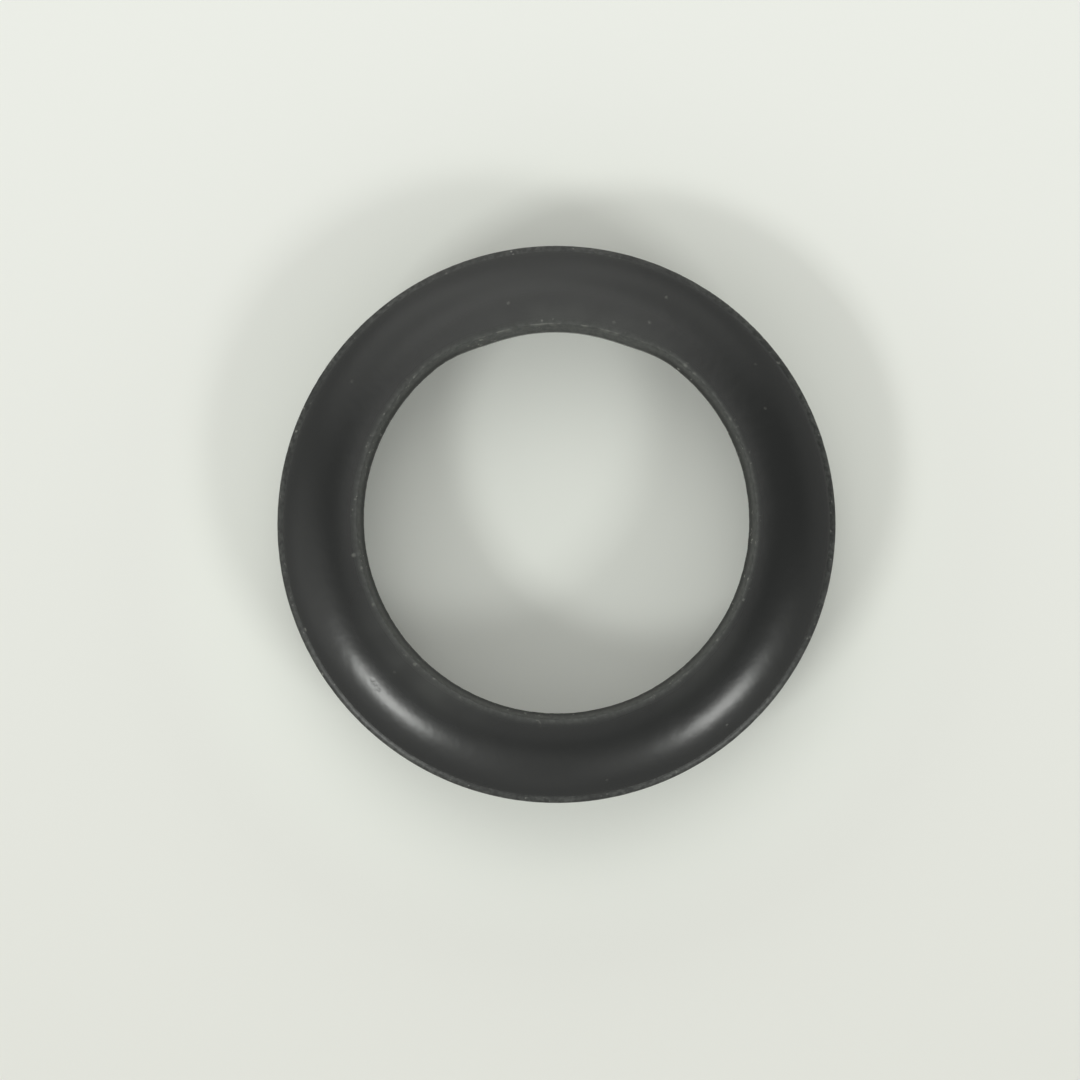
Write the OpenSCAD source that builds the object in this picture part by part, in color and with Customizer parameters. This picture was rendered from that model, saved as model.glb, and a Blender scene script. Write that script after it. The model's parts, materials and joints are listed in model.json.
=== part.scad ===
// Push-in dust seal for a telescopic fork: one moulded rubber ring.
// The tube runs through the lip, the plain collar presses into the slider's pocket,
// and the flange stops on the slider's rim. Z = 0 is the collar's end, which it stands on.

/* [Fits] */
// Outside diameter of the fork tube that the lip wipes
tube_d = 35; // [33:0.5:37]
// How far the relaxed lip stands inside the tube's surface
lip_squeeze = 0.25; // [0.1:0.05:0.6]
// Diameter of the slider's pocket, and so of the collar that presses into it
pocket_d = 48; // [47:0.5:51]

/* [Outside] */
// Height of the whole ring, from the collar's end to the top of the dome
height = 11.5; // [10.5:0.5:16]
// How far the flange stands out past the collar
flange_overhang = 1; // [0.7:0.1:2]
// Thickness of the flange
flange_h = 1.4; // [1:0.1:2]
// Radius of the flange's upper outer edge
flange_edge_r = 0.5; // [0.2:0.05:0.6]
// Width of the ledge left on the flange outside the dome's foot
ledge_w = 0.55; // [0.3:0.05:0.9]
// Straight wall between the ledge and the dome's foot
foot_h = 0.2; // [0.1:0.05:0.8]
// Lead-in at the collar's end, along the axis
lead_h = 0.8; // [0.4:0.1:1.2]
// Lead-in at the collar's end, across the wall
lead_w = 0.5; // [0.2:0.1:0.8]

/* [Dome] */
// Rise of the dome from its foot to its highest ring
dome_h = 2.45; // [1.8:0.05:3.5]
// How far the dome's highest ring lies outside the lip's crease
crest_gap = 0.25; // [0.1:0.05:1]

/* [Lip] */
// Width of the trimmed bevel around the lip
bevel_w = 0.6; // [0.3:0.05:0.8]
// Height of the trimmed bevel around the lip
bevel_h = 1; // [0.6:0.1:1.4]
// Length of the straight edge that wipes the tube
wipe_h = 1; // [0.8:0.1:1.4]
// Rise of the hollow's roof from the collar up to the wiping edge
relief_h = 1.4; // [0.8:0.1:2]

/* [Inside] */
// Thickness of the collar's wall
collar_wall = 3.4; // [2.6:0.1:4]
// Radius of the hollow's inner corner
hollow_corner_r = 1.2; // [0.6:0.1:1.6]
// Break on the hollow's edge at the collar's end
mouth_break = 0.4; // [0.2:0.1:0.6]

/* [Hidden] */
// Facets of the section's arcs and of the turned ring
$fn = 144;
// Reach of a cut past the surface it opens
past = 1;
// How many times its own length the bevel's slope is run on, so that it clears the dome
slope_run = 3;

collar_r = pocket_d / 2;
outer_r = collar_r + flange_overhang;
foot_r = outer_r - ledge_w;
foot_z = height - dome_h;
ledge_z = foot_z - foot_h;
flange_z = ledge_z - flange_h;

lip_r = tube_d / 2 - lip_squeeze;
crease_r = lip_r + bevel_w;
// Centre and radius of the dome's one arc, which passes through its crest and its foot
crest_r = crease_r + crest_gap;
dome_w = foot_r - crest_r;
dome_arc_r = (pow(dome_w, 2) + pow(dome_h, 2)) / (2 * dome_h);
dome_centre_z = height - dome_arc_r;

crease_z = dome_centre_z + sqrt(pow(dome_arc_r, 2) - pow(crest_gap, 2));
wipe_top_z = crease_z - bevel_h;
wipe_end_z = wipe_top_z - wipe_h;

hollow_r = collar_r - collar_wall;
hollow_z = wipe_end_z - relief_h;
roof_angle = atan2(relief_h, hollow_r - lip_r);
// Centre of the rounded corner between the hollow's wall and its roof
corner_r = hollow_r - hollow_corner_r;
corner_z = hollow_z - hollow_corner_r * tan((90 - roof_angle) / 2);

// Each section is drawn with the radius along X and the height along Y.

// Collar that fills the slider's pocket, with its lead-in
module collar_section() {
    polygon([
        [0, 0],
        [collar_r - lead_w, 0],
        [collar_r, lead_h],
        [collar_r, ledge_z],
        [0, ledge_z]
    ]);
}

// Flange with a rounded upper edge
module flange_section() {
    translate([0, flange_z]) square([outer_r - flange_edge_r, flange_h]);
    translate([0, flange_z]) square([outer_r, flange_h - flange_edge_r]);
    translate([outer_r - flange_edge_r, ledge_z - flange_edge_r]) circle(flange_edge_r);
}

// Dome: one arc from the lip over the crest to the foot, and the short wall from there to the ledge
module dome_section() {
    intersection() {
        translate([crest_r, dome_centre_z]) circle(dome_arc_r);
        translate([0, flange_z]) square([foot_r, height - flange_z + past]);
    }
}

// Bore left by the tube and the lip's trimmed bevel, whose slope runs on above the dome
module lip_cut() {
    translate([0, -past]) square([lip_r, height + 2 * past]);
    polygon([
        [0, wipe_top_z],
        [lip_r, wipe_top_z],
        [lip_r + slope_run * bevel_w, wipe_top_z + slope_run * bevel_h],
        [0, wipe_top_z + slope_run * bevel_h]
    ]);
}

// Hollow around the tube, with a sloping roof and a rounded corner
module hollow_cut() {
    polygon([
        [0, -past],
        [hollow_r, -past],
        [hollow_r, corner_z],
        [corner_r + hollow_corner_r * sin(roof_angle), corner_z + hollow_corner_r * cos(roof_angle)],
        [lip_r, wipe_end_z],
        [0, wipe_end_z]
    ]);
    translate([corner_r, corner_z]) circle(hollow_corner_r);
}

// Broken edge at the hollow's mouth: a slope at 45 degrees through the edge
module mouth_cut() {
    polygon([
        [0, -past],
        [hollow_r + mouth_break + past, -past],
        [hollow_r - past, mouth_break + past],
        [0, mouth_break + past]
    ]);
}

module seal_section() {
    difference() {
        union() {
            collar_section();
            flange_section();
            dome_section();
        }
        lip_cut();
        hollow_cut();
        mouth_cut();
    }
}

// The whole seal, turned from its section
module dust_seal() {
    color([0.2, 0.2, 0.2]) rotate_extrude() seal_section();
}

dust_seal();
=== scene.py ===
"""A fork dust seal: one moulded rubber ring, lying dome up on a pale floor."""

import json
import math
from functools import partial

import bpy
import numpy as np
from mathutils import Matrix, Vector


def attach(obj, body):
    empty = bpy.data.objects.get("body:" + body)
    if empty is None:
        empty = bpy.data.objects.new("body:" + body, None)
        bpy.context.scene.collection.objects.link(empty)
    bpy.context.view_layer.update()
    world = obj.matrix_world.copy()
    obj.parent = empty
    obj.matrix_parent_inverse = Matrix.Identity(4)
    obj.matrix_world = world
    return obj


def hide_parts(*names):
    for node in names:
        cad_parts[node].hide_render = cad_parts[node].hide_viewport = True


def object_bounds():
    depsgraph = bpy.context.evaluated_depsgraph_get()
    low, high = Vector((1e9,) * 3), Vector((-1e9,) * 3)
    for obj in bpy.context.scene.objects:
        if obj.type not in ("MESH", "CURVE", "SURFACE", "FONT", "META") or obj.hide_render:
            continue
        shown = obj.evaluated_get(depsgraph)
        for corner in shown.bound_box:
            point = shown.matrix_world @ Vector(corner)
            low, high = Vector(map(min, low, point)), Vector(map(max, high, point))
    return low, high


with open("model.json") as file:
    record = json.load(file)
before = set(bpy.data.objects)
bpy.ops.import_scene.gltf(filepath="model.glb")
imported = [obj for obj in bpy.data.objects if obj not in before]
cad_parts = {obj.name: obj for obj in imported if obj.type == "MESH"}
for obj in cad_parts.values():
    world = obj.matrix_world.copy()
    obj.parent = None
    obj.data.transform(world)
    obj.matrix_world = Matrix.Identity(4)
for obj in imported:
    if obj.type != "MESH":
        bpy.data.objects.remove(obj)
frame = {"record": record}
cad_low, cad_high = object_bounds()

# ---------------------------------------------------------------- the moulded section, in metres

MM = 0.001
MOUNTS = {mount["name"]: mount for mount in frame["record"]["mounts"]}

OUTER_R = cad_high.x
HEIGHT = cad_high.z
LIP_R = MOUNTS["tube_lip"]["dims"]["r_mm"] * MM
WIPE_H = MOUNTS["tube_lip"]["dims"]["length_mm"] * MM
COLLAR_R = MOUNTS["pocket_collar"]["dims"]["r_mm"] * MM

FLANGE_H = 1.4 * MM
LEDGE_W = 0.55 * MM
FOOT_H = 0.2 * MM
LEAD_H = 0.8 * MM
LEAD_W = 0.5 * MM
DOME_H = 2.45 * MM
CREST_GAP = 0.25 * MM
BEVEL_W = 0.6 * MM
BEVEL_H = 1 * MM
RELIEF_H = 1.4 * MM
COLLAR_WALL = 3.4 * MM
HOLLOW_CORNER_R = 1.2 * MM
MOUTH_BREAK = 0.4 * MM

FOOT_R = OUTER_R - LEDGE_W
FOOT_Z = HEIGHT - DOME_H
LEDGE_Z = FOOT_Z - FOOT_H
FLANGE_Z = LEDGE_Z - FLANGE_H
CREASE_R = LIP_R + BEVEL_W
CREST_R = CREASE_R + CREST_GAP
DOME_ARC_R = ((FOOT_R - CREST_R) ** 2 + DOME_H ** 2) / (2 * DOME_H)
DOME_CENTRE_Z = HEIGHT - DOME_ARC_R
CREASE_Z = DOME_CENTRE_Z + math.sqrt(DOME_ARC_R ** 2 - CREST_GAP ** 2)
WIPE_TOP_Z = CREASE_Z - BEVEL_H
WIPE_END_Z = WIPE_TOP_Z - WIPE_H
HOLLOW_R = COLLAR_R - COLLAR_WALL
HOLLOW_Z = WIPE_END_Z - RELIEF_H

# The mould's sharp edges are never sharp in rubber: a small round on each, and smaller ones
# on both sides of the dome's foot and on the lip's two short edges
EDGE_R = 0.08 * MM
FOOT_EDGE_R = 0.03 * MM
SHORT_EDGE_R = EDGE_R / 2
ROUND_POINTS = 4
# The ledge is one round from the rim to the dome's foot: its radius, and its slope at the foot in degrees
LEDGE_ARC_R = 1.0 * MM
LEDGE_SLOPE = 12.0
# Longest step along a straight stretch of the section and along an arc. The ledge has fine steps,
# and so have the last few degrees of the dome beside the crease
STRAIGHT_STEP = 0.9 * MM
ARC_STEP = 0.25 * MM
FINE_STEP = 0.06 * MM
FINE_ANGLE = 3.0
# Steps around the axis, and how close two of the ring's points are when they are one
SEGMENTS = 720
MERGE_DISTANCE = 0.001 * MM

# ---------------------------------------------------------------- the trimmed lip and the rim

# The rough cut face below the bevel, and the teeth on it: how far out they reach in widths of that
# face, and the part of them that is missing along the bulge
TRIM_W = 0.2 * MM
TRIM_H = 0.35 * MM
TRIM_TOOTH = 0.03 * MM
TRIM_REACH = 1.6
TEETH_LOST = 0.7
# The lip was cut a little off centre and a little oval, and a stretch of it bulges inwards.
# All of this fades out on the dome by the first radius
LIP_SOFT_R = CREASE_R + 1.8 * MM
LIP_SHIFT = (0, 0.245 * MM, 0)
LIP_OVAL = 0.06 * MM
OVAL_TURN = 21.0
LIP_WAVE = 0.02 * MM
BULGE_DEPTH = 0.49 * MM
BULGE_START = 50.0
BULGE_END = 130.0
BULGE_RAMP = 24.0
# Fine nibs of flash on the rim
RIM_NIB = 0.03 * MM
# The noise behind all three: each one's scale round the ring, and the offset on the seed that gives it
# a draw of its own. The gain spreads it to about -1 and 1
WAVES = {"lip": (1.6, 0), "teeth": (30.0, 7), "nibs": (16.0, 13)}
RING_SEED = 3.0
WAVE_DETAIL = 2.0
WAVE_GAIN = 3

# Where the finishes lie on the section. The crease's own line fades out between two distances from it.
# The ledge's finish goes down over the rim, and between two depths it falls to a lower share on the wall
CREASE_LINE = (0.02 * MM, 0.09 * MM)
RIM_FADE = (0.5 * MM, 0.3 * MM)
RIM_ON_WALL = 0.3

# ---------------------------------------------------------------- finishes

# The bloom's colour also carries a painted sheen and a painted glow, the dust's colour painted glints on the
# crease, and the cut face's colour a painted shade
RUBBER_COLOUR = "#1e1f1f"
BLOOM_AND_GLOW_COLOUR = "#5f615e"
DUST_AND_GLINT_COLOUR = "#b9bab2"
CUT_SHADE_COLOUR = "#161615"
PAPER_FRONT = "#e1e1dd"
PAPER_BACK = "#eeefec"
PAPER_NEAR = "#eff1ec"
ROOM_COLOUR = "#fefffa"
LAMP_COLOUR = "#fbfefa"
PAPER_ROUGHNESS = 0.9
PAPER_SPECULAR = 0.2
RUBBER_IOR = 1.5

# The uneven patterns of the rubber. Each is a noise, as its size in mm, its detail and its roughness,
# then the two levels of that noise between which the pattern rises, and what it rises from and to
PATTERNS = {
    # How rough the bare skin is
    "gloss": (3.0, 2.0, 0.5, 0.3, 0.7, 0.24, 0.26),
    # The bloom's strength on the lip and on the ledge, partly grey bloom and partly painted sheen, with its
    # fine mottling
    "lip_bloom": (0.4, 3.0, 0.65, 0.34, 0.68, 0.25, 0.5),
    "ledge_bloom": (0.4, 3.0, 0.65, 0.34, 0.68, 0.0, 0.5),
    # Slow patches where the ledge's bloom and the painted glow over the dome are thick or thin
    "patches": (4.0, 2.0, 0.5, 0.3, 0.7, 0.35, 1.0),
    # Pale flecks in dashes along the crease, painted glints
    "crease_glints": (1.1, 1.0, 0.5, 0.5, 0.62, 0.0, 0.2),
    # Grains of dust, drawn coarser than real ones so that they show, and the groups that they lie in
    "grains": (0.42, 2.0, 0.5, 0.62, 0.76, 0.0, 0.42),
    "groups": (3.0, 2.0, 0.5, 0.4, 0.6, 0.0, 1.0),
}
# The moulded skin's slight unevenness: the size of its waves, their detail and roughness, and its height
SKIN_WAVE = 1.6 * MM
SKIN_DETAIL = 2.0
SKIN_ROUGHNESS = 0.55
SKIN_HEIGHT = 0.02 * MM

# How far the lip's bloom, partly grey bloom and partly painted sheen, reaches outwards past the crease. On
# the +X side it stops short of that, as painted shade, because its falloff takes on this power between the
# two values of X
BLOOM_REACH = 0.62 * MM
BLOOM_SHORT = (8 * MM, 16 * MM)
BLOOM_SHORT_POWER = 2.5
# The roughness that bloom, dust and the cut face add, of which the ledge takes a part
MATT_ROUGHNESS = 0.3
LEDGE_MATT = 0.5
# The cut face of the lip, darkened as painted shade, and the power that keeps the painted glints to the
# middle of the bulge
CUT_SHADE_STRENGTH = 0.7
DASH_KEEP = 4.0

# A spot is its distance from the axis in mm, its azimuth in degrees, its size in mm and its strength.
# It is full out to the first share of its size, and gone at the second
SPOT_FULL = 0.2
SPOT_END = 1.5
# Patches of painted glow: a painted highlight around each lamp's highlight and a painted sheen on the +Y
# side, which spread from the crease over the dome to this distance
PAINTED_GLOW_REACH = 3.0 * MM
PAINTED_GLOWS = (
    (18.5, 227.0, 6.5, 0.28),
    (18.3, 88.0, 10.0, 0.22),
    (18.6, 315.0, 5.0, 0.12),
)
# Specks of dust and dents aren't round: their edges wander by this much
SPOT_JITTER = 0.2 * MM
# Pale specks of dust
SPECKS = (
    (20.0, 102.5, 0.16, 0.1),
    (22.2, 145.5, 0.16, 0.05),
    (24.8, 160.5, 0.16, 0.6),
    (22.4, 64.0, 0.16, 0.12),
    (19.6, 65.0, 0.16, 0.09),
    (18.5, 74.0, 0.14, 0.08),
    (22.7, 38.5, 0.12, 0.05),
    (24.5, 36.0, 0.12, 0.3),
    (21.2, 28.5, 0.14, 0.07),
    (18.0, 50.5, 0.22, 0.14),
    (18.0, 47.0, 0.16, 0.12),
    (17.9, 30.5, 0.18, 0.12),
    (24.4, 203.0, 0.16, 0.2),
    (18.3, 189.5, 0.18, 0.17),
    (17.8, 193.5, 0.14, 0.17),
    (17.9, 204.5, 0.16, 0.15),
    (19.7, 223.0, 0.12, 0.04),
    (17.7, 323.5, 0.14, 0.2),
    (17.65, 309.5, 0.12, 0.13),
    (23.6, 310.0, 0.12, 0.12),
    (23.4, 281.0, 0.12, 0.05),
)
# A small scuff on the dome, as a row of shallow dents
SCUFF = (
    (21.6, 220.8, 0.2, 0.5),
    (21.74, 221.5, 0.18, 0.5),
    (21.68, 222.1, 0.18, 0.5),
    (21.84, 222.8, 0.2, 0.5),
    (21.78, 223.4, 0.16, 0.5),
)

# ---------------------------------------------------------------- stage, in metres and degrees

FLOOR_HALF = 3.0
# Distance in front of and behind the ring over which the paper's colour changes, painted light that makes it
# lighter towards the back
PAPER_FADE = 50 * MM
# The paper is painted lighter where the ring lies, a painted light that lifts the ring's soft shadows, and
# from the first radius to the second it turns into the rest
PAINTED_LIFT_FULL = 26 * MM
PAINTED_LIFT_END = 40 * MM
# The camera, its sensor in mm, and the width that it takes in at the ledge's height. It looks at a
# point there that is a little off the axis
CAMERA_DISTANCE = 0.45
CAMERA_LEAN = 3.5
SENSOR = 36.0
FIELD = 96.62 * MM
AIM = (-1.475 * MM, -1.51 * MM)

# Two softboxes, each as its azimuth, elevation, the angles that it fills across and up, and its part
# of the floor's light
LAMP_DISTANCE = 1.6
SOFTBOXES = {
    "softbox_left": (222.8, 42.9, 16.5, 9, 0.172),
    "softbox_right": (314.2, 39.3, 16, 10.5, 0.132),
}
# The room around the bench: its level all round, and what its walls add below the first elevation,
# which is gone by the second
ROOM_LEVEL = 0.22
WALLS_LEVEL = 0.31
WALLS_FULL = 18
WALLS_END = 46
# The lighter panels and windows in it, each as its azimuth, elevation, the half angles where it is
# full and where it ends, and its level
ROOM_PANELS = {
    "ceiling": (215, 86, 4, 21, 0.5),
    "window_high": (95, 62, 8, 28, 0.88),
    "window_right": (68, 38, 8, 30, 0.55),
    "window_left": (124, 38, 8, 30, 0.72),
    "window_low": (100, 12, 10, 36, 0.3),
    "left_wall": (190, 34, 6, 28, 0.49),
    "front_wall": (265, 40, 6, 28, 0.36),
    "left_lamp_glow": (222, 46, 12, 36, 0.26),
    "right_lamp_glow": (315, 44, 12, 34, 0.18),
    "front_left": (247, 38, 2, 12, 0.2),
    "front_right": (292, 38, 3, 15, 0.36),
    "right_wall": (330, 38, 3, 15, 0.44),
    "window_middle": (92, 28, 6, 22, 0.2),
    "ceiling_back": (100, 74, 4, 16, 0.2),
}


# ---------------------------------------------------------------- small helpers

def linear(hex_colour):
    """An sRGB hex colour as linear RGBA."""
    parts = [int(hex_colour[i:i + 2], 16) / 255 for i in (1, 3, 5)]
    return (*(p / 12.92 if p <= 0.04045 else ((p + 0.055) / 1.055) ** 2.4 for p in parts), 1.0)


# Kinds of node that are used often. The Mix node's sockets for colours have no names of their own, so
# they go by number: the share, what lies under, what lies over, and the result
MATH = "ShaderNodeMath"
VECTOR_MATH = "ShaderNodeVectorMath"
STEP = "ShaderNodeMapRange"
EASED = {"interpolation_type": "SMOOTHSTEP"}
MIX_SHARE, MIX_UNDER, MIX_OVER, MIX_RESULT = 0, 6, 7, 2


def add_node(tree, kind, inputs=(), **settings):
    """Adds a node and gives its outputs. Its inputs are values or the sockets that feed it, in a list in
    their own order or in a dict by name, and the settings are its properties."""
    node = tree.nodes.new(kind)
    for name, value in settings.items():
        setattr(node, name, value)
    for key, value in inputs.items() if isinstance(inputs, dict) else enumerate(inputs):
        if isinstance(value, bpy.types.NodeSocket):
            tree.links.new(value, node.inputs[key])
        else:
            node.inputs[key].default_value = value
    return node.outputs


def direction(azimuth, elevation):
    """The unit vector towards a place in the room. Azimuth 0 is +X and 90 is +Y."""
    around, up = math.radians(azimuth), math.radians(elevation)
    return (math.cos(up) * math.cos(around), math.cos(up) * math.sin(around), math.sin(up))


# ---------------------------------------------------------------- the section

def arc(centre_r, centre_z, radius, start, end, step=ARC_STEP):
    """Points along an arc of the section, where 0 degrees is outwards and 90 is up."""
    steps = max(3, math.ceil(radius * abs(math.radians(end - start)) / step))
    return [
        (centre_r + radius * math.cos(angle), centre_z + radius * math.sin(angle))
        for angle in np.radians(np.linspace(start, end, steps + 1))
    ]


def rounded(before, corner, after, radius):
    """The short arc that takes a corner's place, tangent to the straight lines on both sides of it."""
    before, corner, after = (np.array(point) for point in (before, corner, after))
    back = (before - corner) / np.linalg.norm(before - corner)
    ahead = (after - corner) / np.linalg.norm(after - corner)
    half = math.acos(float(np.clip(back @ ahead, -1, 1))) / 2
    middle = (back + ahead) / np.linalg.norm(back + ahead)
    centre = corner + middle * radius / math.sin(half)
    first = corner + back * radius / math.tan(half)
    last = corner + ahead * radius / math.tan(half)
    turn = (first - centre, last - centre)
    points = []
    for share in np.linspace(0, 1, ROUND_POINTS):
        spoke = turn[0] * (1 - share) + turn[1] * share
        points.append(tuple(centre + spoke * radius / np.linalg.norm(spoke)))
    return points


def filled(points):
    """The closed outline with its long straight stretches cut into short steps."""
    dense = []
    for here, there in zip(points, points[1:] + points[:1]):
        steps = max(1, math.ceil(math.dist(here, there) / STRAIGHT_STEP))
        for step in range(steps):
            share = step / steps
            dense.append(tuple(a + (b - a) * share for a, b in zip(here, there)))
    return dense


def seal_section():
    """The section's outline as (radius, height) points, from the hollow's mouth round the outside."""
    roof = math.atan2(RELIEF_H, HOLLOW_R - LIP_R)
    corner_r = HOLLOW_R - HOLLOW_CORNER_R
    corner_z = HOLLOW_Z - HOLLOW_CORNER_R * math.tan((math.pi / 2 - roof) / 2)

    mouth_in = (HOLLOW_R, MOUTH_BREAK)
    mouth_out = (HOLLOW_R + MOUTH_BREAK, 0)
    lead_in = (COLLAR_R - LEAD_W, 0)
    lead_top = (COLLAR_R, LEAD_H)
    seat_in = (COLLAR_R, FLANGE_Z)
    seat_out = (OUTER_R, FLANGE_Z)
    crease = (CREASE_R, CREASE_Z)
    trim_top = (LIP_R + TRIM_W, WIPE_TOP_Z)
    trim_end = (LIP_R, WIPE_TOP_Z - TRIM_H)
    wipe_end = (LIP_R, WIPE_END_Z)
    roof_end = (corner_r + HOLLOW_CORNER_R * math.sin(roof), corner_z + HOLLOW_CORNER_R * math.cos(roof))

    # The ledge's arc, from the rim to the foot, has its centre below the foot
    ledge_r = FOOT_R - LEDGE_ARC_R * math.sin(math.radians(LEDGE_SLOPE))
    ledge_z = LEDGE_Z - LEDGE_ARC_R * math.cos(math.radians(LEDGE_SLOPE))
    rim_angle = math.degrees(math.acos((OUTER_R - ledge_r) / LEDGE_ARC_R))
    ledge = arc(ledge_r, ledge_z, LEDGE_ARC_R, rim_angle, 90 - LEDGE_SLOPE, FINE_STEP)

    # The dome's arc, from the foot over the crest to the crease
    foot_angle = 90 - math.degrees(math.asin((FOOT_R - CREST_R) / DOME_ARC_R))
    crease_angle = 90 + math.degrees(math.asin(CREST_GAP / DOME_ARC_R))
    fine_angle = crease_angle - FINE_ANGLE
    dome = (
        arc(CREST_R, DOME_CENTRE_Z, DOME_ARC_R, foot_angle, fine_angle)[:-1]
        + arc(CREST_R, DOME_CENTRE_Z, DOME_ARC_R, fine_angle, crease_angle, FINE_STEP)
    )
    # A round takes the place of each corner, and of the points of an arc that it covers
    return filled(
        rounded(mouth_in, mouth_out, lead_in, EDGE_R)
        + rounded(mouth_out, lead_in, lead_top, EDGE_R)
        + rounded(lead_in, lead_top, seat_in, EDGE_R)
        + rounded(lead_top, seat_in, seat_out, EDGE_R)
        + rounded(seat_in, seat_out, ledge[0], EDGE_R)
        + rounded(seat_out, ledge[0], ledge[2], EDGE_R)
        + ledge[2:-1]
        + rounded(ledge[-2], ledge[-1], dome[0], FOOT_EDGE_R)
        + rounded(ledge[-1], dome[0], dome[1], FOOT_EDGE_R)
        + dome[1:-2]
        + rounded(dome[-3], crease, trim_top, EDGE_R)
        + rounded(crease, trim_top, trim_end, SHORT_EDGE_R)
        + rounded(trim_top, trim_end, wipe_end, EDGE_R)
        + rounded(trim_end, wipe_end, roof_end, SHORT_EDGE_R)
        + arc(corner_r, corner_z, HOLLOW_CORNER_R, 90 - math.degrees(roof), 0)
        + rounded((HOLLOW_R, corner_z), mouth_in, mouth_out, EDGE_R)
    )


def smooth(value, start, end):
    """0 at start and 1 at end, eased at both."""
    share = float(np.clip((value - start) / (end - start), 0, 1))
    return share * share * (3 - 2 * share)


def shares_at(r, z):
    """How far a point of the section belongs to the lip, the flange and their finishes, from 0 to 1."""
    # What is by the lip reaches halfway down the hollow's roof
    by_lip = z > WIPE_END_Z - RELIEF_H / 2
    on_top = z > WIPE_TOP_Z - TRIM_H
    by_flange = FLANGE_Z - EDGE_R < z < FOOT_Z
    from_crease = math.dist((r, z), (CREASE_R, CREASE_Z))

    bevel = smooth(r, CREASE_R + BLOOM_REACH, CREASE_R) if on_top else 0.0
    # The painted glow's share, which fades out from the crease over the dome
    haze = smooth(r, CREASE_R + PAINTED_GLOW_REACH, CREASE_R) if on_top else 0.0
    rim = smooth(r, FOOT_R - EDGE_R, FOOT_R) if by_flange else 0.0
    high_on_rim = smooth(z, *(LEDGE_Z - depth for depth in RIM_FADE))
    return {
        "lip": smooth(r, LIP_SOFT_R, CREASE_R) if by_lip else 0.0,
        "crease": 1 - smooth(from_crease, *CREASE_LINE),
        "bevel": bevel,
        "haze": haze * (1 - bevel),
        "trim": 1 - smooth(r, LIP_R + TRIM_W, LIP_R + TRIM_REACH * TRIM_W) if by_lip else 0.0,
        "rim": rim * (RIM_ON_WALL + (1 - RIM_ON_WALL) * high_on_rim),
    }


def section_object():
    """The outline as a wire mesh, with the shares as its attributes."""
    outline = seal_section()
    count = len(outline)
    edges = [(i, (i + 1) % count) for i in range(count)]
    mesh = bpy.data.meshes.new("section")
    mesh.from_pydata([(r, 0, z) for r, z in outline], edges, [])
    shares = [shares_at(r, z) for r, z in outline]
    for name in shares[0]:
        attribute = mesh.attributes.new(name, "FLOAT", "POINT")
        attribute.data.foreach_set("value", [share[name] for share in shares])
    section = bpy.data.objects.new("section", mesh)
    bpy.context.scene.collection.objects.link(section)
    return section


# ---------------------------------------------------------------- the turned ring

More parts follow.
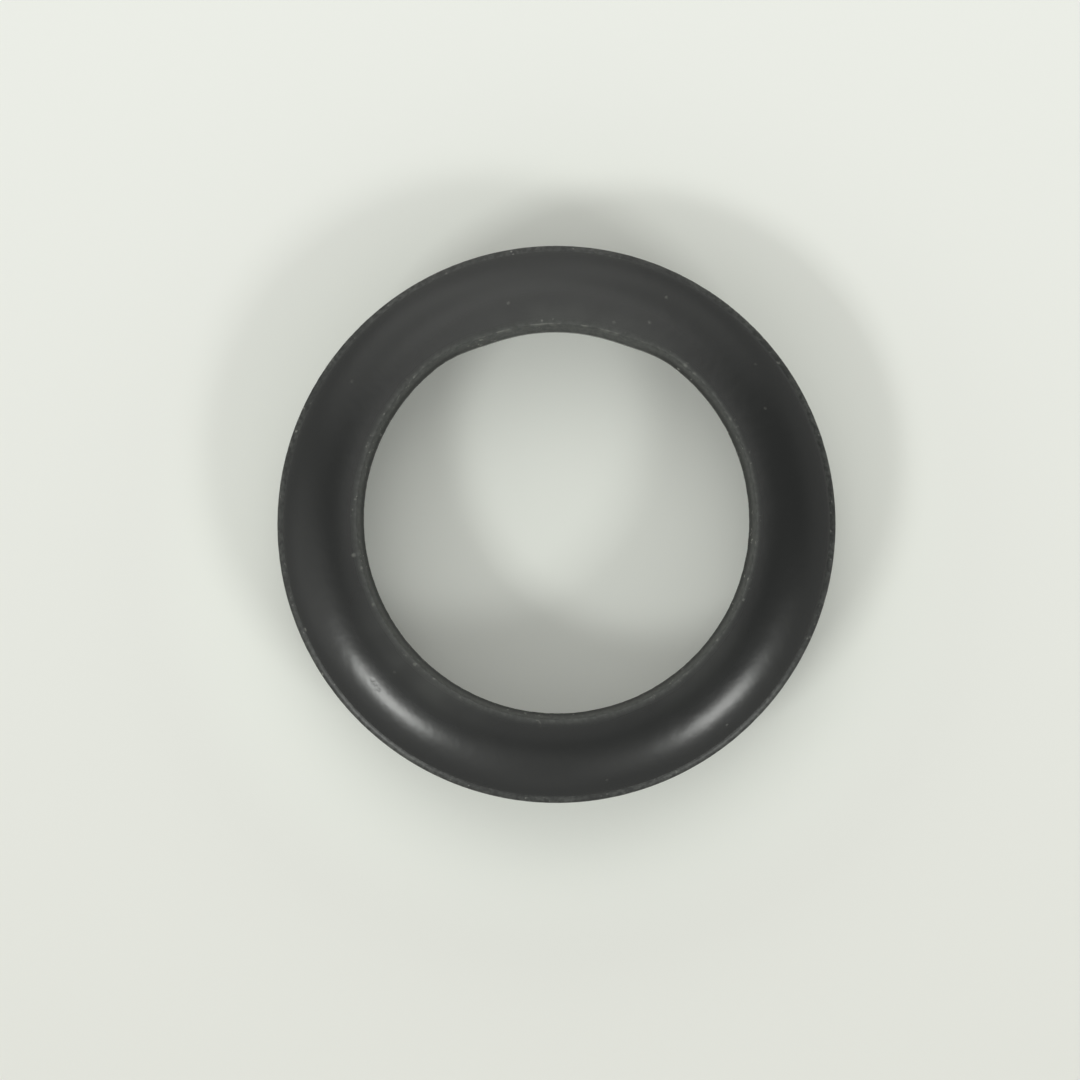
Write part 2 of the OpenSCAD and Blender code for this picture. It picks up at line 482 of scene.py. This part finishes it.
def ring_tree(names):
    """Geometry Nodes: the section turned about Z, with an uneven lip and rim and its named shares."""
    tree = bpy.data.node_groups.new("turned_ring", "GeometryNodeTree")
    kinds = {
        "Section": "Object", "Section points": "Int", "Segments": "Int", "Lip shift": "Vector",
        "Bulge depth": "Float", "Bulge start": "Float", "Bulge end": "Float", "Bulge ramp": "Float",
        "Lip wave": "Float", "Lip oval": "Float", "Oval turn": "Float", "Trim tooth": "Float",
        "Rim nib": "Float", "Seed": "Float", "Material": "Material",
    }
    for name, kind in kinds.items():
        tree.interface.new_socket(name, in_out="INPUT", socket_type="NodeSocket" + kind)
    tree.interface.new_socket("Geometry", in_out="OUTPUT", socket_type="NodeSocketGeometry")
    node = partial(add_node, tree)
    group = node("NodeGroupInput")

    # One grid vertex for each pair of a segment and a section point. The last of each meets the first
    columns = node(MATH, [group["Segments"], 1], operation="ADD")[0]
    rows = node(MATH, [group["Section points"], 1], operation="ADD")[0]
    grid = node("GeometryNodeMeshGrid", {"Vertices X": columns, "Vertices Y": rows})["Mesh"]
    index = node("GeometryNodeInputIndex")[0]
    middle = node(MATH, [index, 0.5], operation="ADD")[0]
    column = node(MATH, [middle, rows], operation="DIVIDE")[0]
    column = node(MATH, [column], operation="FLOOR")[0]
    row = node(MATH, [index, rows], operation="MODULO")[0]
    point = node(MATH, [row, group["Section points"]], operation="MODULO")[0]

    # Where each segment lies around the axis
    segment = node(MATH, [column, group["Segments"]], operation="MODULO")[0]
    share = node(MATH, [segment, group["Segments"]], operation="DIVIDE")[0]
    degrees = node(MATH, [share, 360], operation="MULTIPLY")[0]
    radians = node(MATH, [degrees], operation="RADIANS")[0]
    cosine = node(MATH, [radians], operation="COSINE")[0]
    sine = node(MATH, [radians], operation="SINE")[0]
    spoke = node("ShaderNodeCombineXYZ", [cosine, sine])[0]

    # Where each point lies on the section, and its shares
    section = node("GeometryNodeObjectInfo", {"Object": group["Section"]})["Geometry"]
    place = node("GeometryNodeSampleIndex", {
        "Geometry": section, "Value": node("GeometryNodeInputPosition")[0], "Index": point},
        data_type="FLOAT_VECTOR")[0]
    place = node("ShaderNodeSeparateXYZ", [place])
    shares = {}
    for name in names:
        share = node("GeometryNodeInputNamedAttribute", {"Name": name}, data_type="FLOAT")["Attribute"]
        shares[name] = node("GeometryNodeSampleIndex", {
            "Geometry": section, "Value": share, "Index": point}, data_type="FLOAT")[0]

    # Noise from about -1 to 1 that closes on itself around the ring
    waves = {}
    for name, (scale, offset) in WAVES.items():
        draw = node(MATH, [group["Seed"], offset], operation="ADD")[0]
        wave = node("ShaderNodeTexNoise", {
            "Vector": spoke, "W": draw, "Scale": scale, "Detail": WAVE_DETAIL}, noise_dimensions="4D")[0]
        wave = node(MATH, [wave, 0.5], operation="SUBTRACT")[0]
        waves[name] = node(MATH, [wave, WAVE_GAIN], operation="MULTIPLY")[0]

    # The lip: a long bulge inwards, a slight oval and a slow wave
    rise_end = node(MATH, [group["Bulge start"], group["Bulge ramp"]], operation="ADD")[0]
    fall_start = node(MATH, [group["Bulge end"], group["Bulge ramp"]], operation="SUBTRACT")[0]
    rise = node(STEP, [degrees, group["Bulge start"], rise_end], interpolation_type="SMOOTHERSTEP")[0]
    fall = node(
        STEP, [degrees, fall_start, group["Bulge end"], 1.0, 0.0], interpolation_type="SMOOTHERSTEP")[0]
    in_bulge = node(MATH, [rise, fall], operation="MULTIPLY")[0]
    bulge = node(MATH, [in_bulge, group["Bulge depth"]], operation="MULTIPLY")[0]
    turn = node(MATH, [degrees, group["Oval turn"]], operation="SUBTRACT")[0]
    turn = node(MATH, [turn, 2], operation="MULTIPLY")[0]
    turn = node(MATH, [turn], operation="RADIANS")[0]
    oval = node(MATH, [turn], operation="COSINE")[0]
    inwards = node(MATH, [oval, group["Lip oval"], bulge], operation="MULTIPLY_ADD")[0]
    slow = node(MATH, [waves["lip"], group["Lip wave"]], operation="MULTIPLY")[0]
    lip = node(MATH, [slow, inwards], operation="SUBTRACT")[0]
    lip = node(MATH, [lip, shares["lip"]], operation="MULTIPLY")[0]

    # Small teeth where it was trimmed, fewer along the bulge
    teeth_kept = node(STEP, [in_bulge, 0.0, 1.0, 1.0, 1 - TEETH_LOST])[0]
    teeth = node(MATH, [waves["teeth"], group["Trim tooth"]], operation="MULTIPLY")[0]
    teeth = node(MATH, [teeth, teeth_kept], operation="MULTIPLY")[0]
    teeth = node(MATH, [teeth, shares["trim"]], operation="MULTIPLY")[0]

    # The rim: fine nibs of flash, which only ever fall short of the full radius
    nib = node(MATH, [waves["nibs"]], operation="ABSOLUTE")[0]
    nib = node(MATH, [nib, group["Rim nib"]], operation="MULTIPLY")[0]
    nib = node(MATH, [nib, shares["rim"]], operation="MULTIPLY")[0]

    radius = place["X"]
    for move, operation in ((lip, "ADD"), (teeth, "ADD"), (nib, "SUBTRACT")):
        radius = node(MATH, [radius, move], operation=operation)[0]
    lifted = node("ShaderNodeCombineXYZ", {"Z": place["Z"]})[0]
    turned = node(VECTOR_MATH, {0: spoke, "Scale": radius}, operation="SCALE")[0]
    shifted = node(VECTOR_MATH, {0: group["Lip shift"], "Scale": shares["lip"]}, operation="SCALE")[0]
    position = node(VECTOR_MATH, [turned, shifted], operation="ADD")[0]
    position = node(VECTOR_MATH, [position, lifted], operation="ADD")[0]

    ring = grid
    for name, value in (shares | {"bulge": in_bulge}).items():
        ring = node("GeometryNodeStoreNamedAttribute", {
            "Geometry": ring, "Name": name, "Value": value}, data_type="FLOAT", domain="POINT")[0]
    ring = node("GeometryNodeSetPosition", {"Geometry": ring, "Position": position})[0]
    ring = node("GeometryNodeMergeByDistance", {"Geometry": ring, "Distance": MERGE_DISTANCE})[0]
    ring = node("GeometryNodeSetShadeSmooth", {"Geometry": ring})[0]
    ring = node("GeometryNodeRealizeInstances", {"Geometry": ring})[0]
    ring = node("GeometryNodeSetMaterial", {"Geometry": ring, "Material": group["Material"]})[0]
    node("NodeGroupOutput", {"Geometry": ring})
    return tree


def made_mesh(name, tree, values):
    """Runs a tree on an empty mesh with the named values, and gives the result as a plain mesh object."""
    maker = bpy.data.objects.new(name + "_maker", bpy.data.meshes.new(name))
    bpy.context.scene.collection.objects.link(maker)
    modifier = maker.modifiers.new("nodes", "NODES")
    modifier.node_group = tree
    sockets = {item.name: item.identifier for item in tree.interface.items_tree if item.in_out == "INPUT"}
    for key, value in values.items():
        modifier[sockets[key]] = value
    bpy.context.view_layer.update()
    evaluated = maker.evaluated_get(bpy.context.evaluated_depsgraph_get())
    mesh = bpy.data.meshes.new_from_object(evaluated)
    mesh.name = name
    bpy.data.objects.remove(maker)
    piece = bpy.data.objects.new(name, mesh)
    bpy.context.scene.collection.objects.link(piece)
    return piece


def dust_seal(material):
    """The ring itself, which stands for the CAD model's solid."""
    section = section_object()
    names = [attribute.name for attribute in section.data.attributes if attribute.data_type == "FLOAT"]
    piece = made_mesh("moulded_ring", ring_tree(names), {
        "Section": section,
        "Section points": len(section.data.vertices),
        "Segments": SEGMENTS,
        "Bulge depth": BULGE_DEPTH,
        "Bulge start": BULGE_START,
        "Bulge end": BULGE_END,
        "Bulge ramp": BULGE_RAMP,
        "Lip wave": LIP_WAVE,
        "Lip oval": LIP_OVAL,
        "Oval turn": OVAL_TURN,
        "Trim tooth": TRIM_TOOTH,
        "Rim nib": RIM_NIB,
        "Lip shift": LIP_SHIFT,
        "Seed": RING_SEED,
        "Material": material,
    })
    bpy.data.objects.remove(section)
    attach(piece, "root")
    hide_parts("dust_seal")
    return piece


# ---------------------------------------------------------------- materials

def new_material(name):
    """A material with an empty node tree, and the tree."""
    material = bpy.data.materials.new(name)
    material.use_nodes = True
    tree = material.node_tree
    tree.nodes.clear()
    return material, tree


def layered(tree, base, layers):
    """A colour with others laid over it in turn, each by its own share."""
    colour = linear(base)
    for share, over in layers:
        colour = add_node(
            tree, "ShaderNodeMix", {MIX_SHARE: share, MIX_UNDER: colour, MIX_OVER: linear(over)},
            data_type="RGBA")[MIX_RESULT]
    return colour


def on_top(radius_mm, azimuth):
    """The point on the dome or the ledge at a distance from the axis in mm and an azimuth in degrees."""
    radius = radius_mm * MM
    height = LEDGE_Z
    if radius < FOOT_R:
        height = DOME_CENTRE_Z + math.sqrt(DOME_ARC_R ** 2 - (radius - CREST_R) ** 2)
    around = math.radians(azimuth)
    return (radius * math.cos(around), radius * math.sin(around), height)


def spots(tree, place, rows):
    """All of a list's soft-edged spots on top of the ring, as one share."""
    total = 0.0
    for radius_mm, azimuth, size_mm, strength in rows:
        centre = on_top(radius_mm, azimuth)
        reach = [share * size_mm * MM for share in (SPOT_END, SPOT_FULL)]
        away = add_node(tree, VECTOR_MATH, [place, centre], operation="DISTANCE")["Value"]
        spot = add_node(tree, STEP, [away, *reach, 0.0, strength], **EASED)[0]
        total = add_node(tree, MATH, [total, spot], operation="MAXIMUM")[0]
    return total


def nitrile_rubber():
    """Black nitrile rubber, compression moulded in a polished steel mould: satin and nearly black, with a
    faint grey bloom on the lip and the ledge that is partly painted sheen, a painted glow over the dome
    around the lamps' highlights and on the +Y side, a matt trimmed edge darkened as painted shade, painted
    glints on the bulge's crease, and the pale dust that rubber holds."""
    material, tree = new_material("nitrile_rubber_moulded")
    node = partial(add_node, tree)
    place = node("ShaderNodeTexCoord")["Object"]
    across = node("ShaderNodeSeparateXYZ", [place])["X"]
    crease, bevel, haze, trim, rim, bulge = (
        node("ShaderNodeAttribute", attribute_type="GEOMETRY", attribute_name=name)["Fac"]
        for name in ("crease", "bevel", "haze", "trim", "rim", "bulge"))
    patterns = {}
    for name, (size_mm, detail, roughness, *rise) in PATTERNS.items():
        noise = node("ShaderNodeTexNoise", {
            "Vector": place, "Scale": 1 / (size_mm * MM), "Detail": detail, "Roughness": roughness})[0]
        patterns[name] = node(STEP, [noise, *rise], **EASED)[0]

    # The bloom on the lip and the ledge, partly grey bloom and partly painted sheen and weaker towards +X as
    # painted shade, and the painted glow over the dome: a painted highlight around the lamps' highlights and
    # a painted sheen on the +Y side
    # Painted shade: the lip's bloom falls off faster towards +X, where the rubber mirrors the darker side of
    # the room
    falloff = node(STEP, [across, *BLOOM_SHORT, 1.0, BLOOM_SHORT_POWER], **EASED)[0]
    on_lip = node(MATH, [bevel, falloff], operation="POWER")[0]
    on_lip = node(MATH, [on_lip, patterns["lip_bloom"]], operation="MULTIPLY")[0]
    on_ledge = node(MATH, [rim, patterns["ledge_bloom"]], operation="MULTIPLY")[0]
    on_dome = node(MATH, [haze, spots(tree, place, PAINTED_GLOWS)], operation="MULTIPLY")[0]
    patchy = node(MATH, [on_ledge, on_dome], operation="ADD")[0]
    bloom_and_glow = node(MATH, [patchy, patterns["patches"], on_lip], operation="MULTIPLY_ADD")[0]

    # The cut face is darkened as painted shade, which fades out along the bulge, where the knife left the
    # moulded edge
    cut_and_shade = node(STEP, [bulge, 0.0, 1.0, CUT_SHADE_STRENGTH, 0.0])[0]
    cut_and_shade = node(MATH, [cut_and_shade, trim], operation="MULTIPLY")[0]

    # Painted glints in flecks along the crease of the bulge, and scattered grains of dust on the rest of the
    # lip and on the ledge
    crease_glints = node(MATH, [bulge, DASH_KEEP], operation="POWER")[0]
    crease_glints = node(MATH, [crease_glints, crease], operation="MULTIPLY")[0]
    crease_glints = node(MATH, [crease_glints, patterns["crease_glints"]], operation="MULTIPLY")[0]
    grains = node(MATH, [bevel, rim], operation="MAXIMUM")[0]
    grains = node(MATH, [grains, patterns["grains"]], operation="MULTIPLY")[0]
    grains = node(MATH, [grains, patterns["groups"]], operation="MULTIPLY")[0]

    # Single specks and the scuff, whose places wander a little
    wander = node("ShaderNodeTexNoise", {"Vector": place, "Scale": 1 / SPOT_JITTER, "Detail": 1.0})["Color"]
    wander = node(VECTOR_MATH, [wander, (0.5,) * 3], operation="SUBTRACT")[0]
    near = node(VECTOR_MATH, [wander, (SPOT_JITTER,) * 3, place], operation="MULTIPLY_ADD")[0]
    specks = spots(tree, near, SPECKS)
    scuff = spots(tree, near, SCUFF)
    dust_and_glint = node(MATH, [crease_glints, grains], operation="MAXIMUM")[0]
    dust_and_glint = node(MATH, [dust_and_glint, specks], operation="MAXIMUM")[0]

    # Bloom, dust and the cut face are matt as well
    matt = node(MATH, [rim, LEDGE_MATT], operation="MULTIPLY")[0]
    for share in (bevel, cut_and_shade, dust_and_glint):
        matt = node(MATH, [matt, share], operation="MAXIMUM")[0]
    roughness = node(MATH, [matt, MATT_ROUGHNESS, patterns["gloss"]], operation="MULTIPLY_ADD")[0]

    # Slight unevenness of the moulded skin, which only the edges of a highlight show
    skin = node("ShaderNodeTexNoise", {
        "Vector": place, "Scale": 1 / SKIN_WAVE, "Detail": SKIN_DETAIL, "Roughness": SKIN_ROUGHNESS})[0]
    skin = node(MATH, [skin, scuff], operation="SUBTRACT")[0]
    bump = node("ShaderNodeBump", {"Height": skin, "Strength": 1.0, "Distance": SKIN_HEIGHT})[0]

    # Over the rubber: bloom with painted sheen and glow, the cut face's painted shade, and dust with painted
    # glints
    colour = layered(
        tree, RUBBER_COLOUR, [(bloom_and_glow, BLOOM_AND_GLOW_COLOUR), (cut_and_shade, CUT_SHADE_COLOUR), (dust_and_glint, DUST_AND_GLINT_COLOUR)])
    shader = node("ShaderNodeBsdfPrincipled", {
        "Base Color": colour, "Roughness": roughness, "IOR": RUBBER_IOR, "Normal": bump})[0]
    node("ShaderNodeOutputMaterial", {"Surface": shader})
    return material


def pale_paper():
    """A pale matt paper sweep, painted lighter behind the ring and painted lighter around it, on which the
    ring and its soft shadows stand.
    """
    material, tree = new_material("backdrop_paper")
    node = partial(add_node, tree)
    place = node("ShaderNodeTexCoord")["Object"]
    back = node("ShaderNodeSeparateXYZ", [place])["Y"]
    away = node(VECTOR_MATH, [place], operation="LENGTH")["Value"]
    # Painted light: the paper is lighter towards the back, and lighter close to the ring
    behind = node(STEP, [back, -PAPER_FADE, PAPER_FADE])[0]
    painted_lift = node(STEP, [away, PAINTED_LIFT_END, PAINTED_LIFT_FULL], **EASED)[0]
    colour = layered(tree, PAPER_FRONT, [(behind, PAPER_BACK), (painted_lift, PAPER_NEAR)])
    shader = node("ShaderNodeBsdfPrincipled", {
        "Base Color": colour, "Roughness": PAPER_ROUGHNESS, "Specular IOR Level": PAPER_SPECULAR})[0]
    node("ShaderNodeOutputMaterial", {"Surface": shader})
    return material


# ---------------------------------------------------------------- stage, lamps and camera

def floor():
    """The flat paper that the ring lies on."""
    mesh = bpy.data.meshes.new("floor")
    corners = [(x * FLOOR_HALF, y * FLOOR_HALF, 0) for x, y in ((-1, -1), (1, -1), (1, 1), (-1, 1))]
    mesh.from_pydata(corners, [], [range(4)])
    mesh.materials.append(pale_paper())
    piece = bpy.data.objects.new("floor", mesh)
    bpy.context.scene.collection.objects.link(piece)


def softbox(name, azimuth, elevation, across, upwards, share):
    """A softbox aimed at the ring, sized by the angles it fills. Its share is of the floor's light."""
    data = bpy.data.lights.new(name, "AREA")
    data.shape = "RECTANGLE"
    data.color = linear(LAMP_COLOUR)[:3]
    data.size = 2 * LAMP_DISTANCE * math.tan(math.radians(across / 2))
    data.size_y = 2 * LAMP_DISTANCE * math.tan(math.radians(upwards / 2))
    # A flat lamp of P watts gives P / (pi x distance squared) watts a square metre on its axis, and
    # the floor shows its own colour at pi watts a square metre in all
    on_floor = share * math.pi / math.sin(math.radians(elevation))
    data.energy = on_floor * math.pi * LAMP_DISTANCE ** 2
    lamp = bpy.data.objects.new(name, data)
    lamp.location = [LAMP_DISTANCE * part for part in direction(azimuth, elevation)]
    lamp.rotation_euler = (math.radians(90 - elevation), 0, math.radians(azimuth + 90))
    bpy.context.scene.collection.objects.link(lamp)


def room():
    """The room's light: a dim level all round, and the lighter walls and windows that the rubber mirrors."""
    world = bpy.data.worlds.new("room")
    bpy.context.scene.world = world
    world.use_nodes = True
    world.node_tree.nodes.clear()
    node = partial(add_node, world.node_tree)
    way = node("ShaderNodeTexCoord")["Generated"]
    height = node("ShaderNodeSeparateXYZ", [way])["Z"]
    walls = [math.sin(math.radians(angle)) for angle in (WALLS_END, WALLS_FULL)]
    light = node(STEP, [height, *walls, ROOM_LEVEL, ROOM_LEVEL + WALLS_LEVEL], **EASED)[0]
    for azimuth, elevation, full, end, level in ROOM_PANELS.values():
        reach = [math.cos(math.radians(angle)) for angle in (end, full)]
        towards = node(VECTOR_MATH, [way, direction(azimuth, elevation)], operation="DOT_PRODUCT")["Value"]
        panel = node(STEP, [towards, *reach, 0.0, level], **EASED)[0]
        light = node(MATH, [light, panel], operation="ADD")[0]
    sky = node("ShaderNodeBackground", {"Color": linear(ROOM_COLOUR), "Strength": light})[0]
    node("ShaderNodeOutputWorld", {"Surface": sky})


def camera():
    """A camera almost straight above the ring, leaning a little towards -Y."""
    data = bpy.data.cameras.new("camera")
    data.sensor_width = SENSOR
    data.lens = SENSOR * CAMERA_DISTANCE / FIELD
    eye = bpy.data.objects.new("camera", data)
    lean = math.radians(CAMERA_LEAN)
    eye.location = (
        AIM[0], AIM[1] - CAMERA_DISTANCE * math.sin(lean), LEDGE_Z + CAMERA_DISTANCE * math.cos(lean))
    eye.rotation_euler = (lean, 0, 0)
    bpy.context.scene.collection.objects.link(eye)
    bpy.context.scene.camera = eye


# ---------------------------------------------------------------- the scene

dust_seal(nitrile_rubber())
floor()
for name, place in SOFTBOXES.items():
    softbox(name, *place)
room()
camera()

scene = bpy.context.scene
scene.view_settings.view_transform = "Standard"
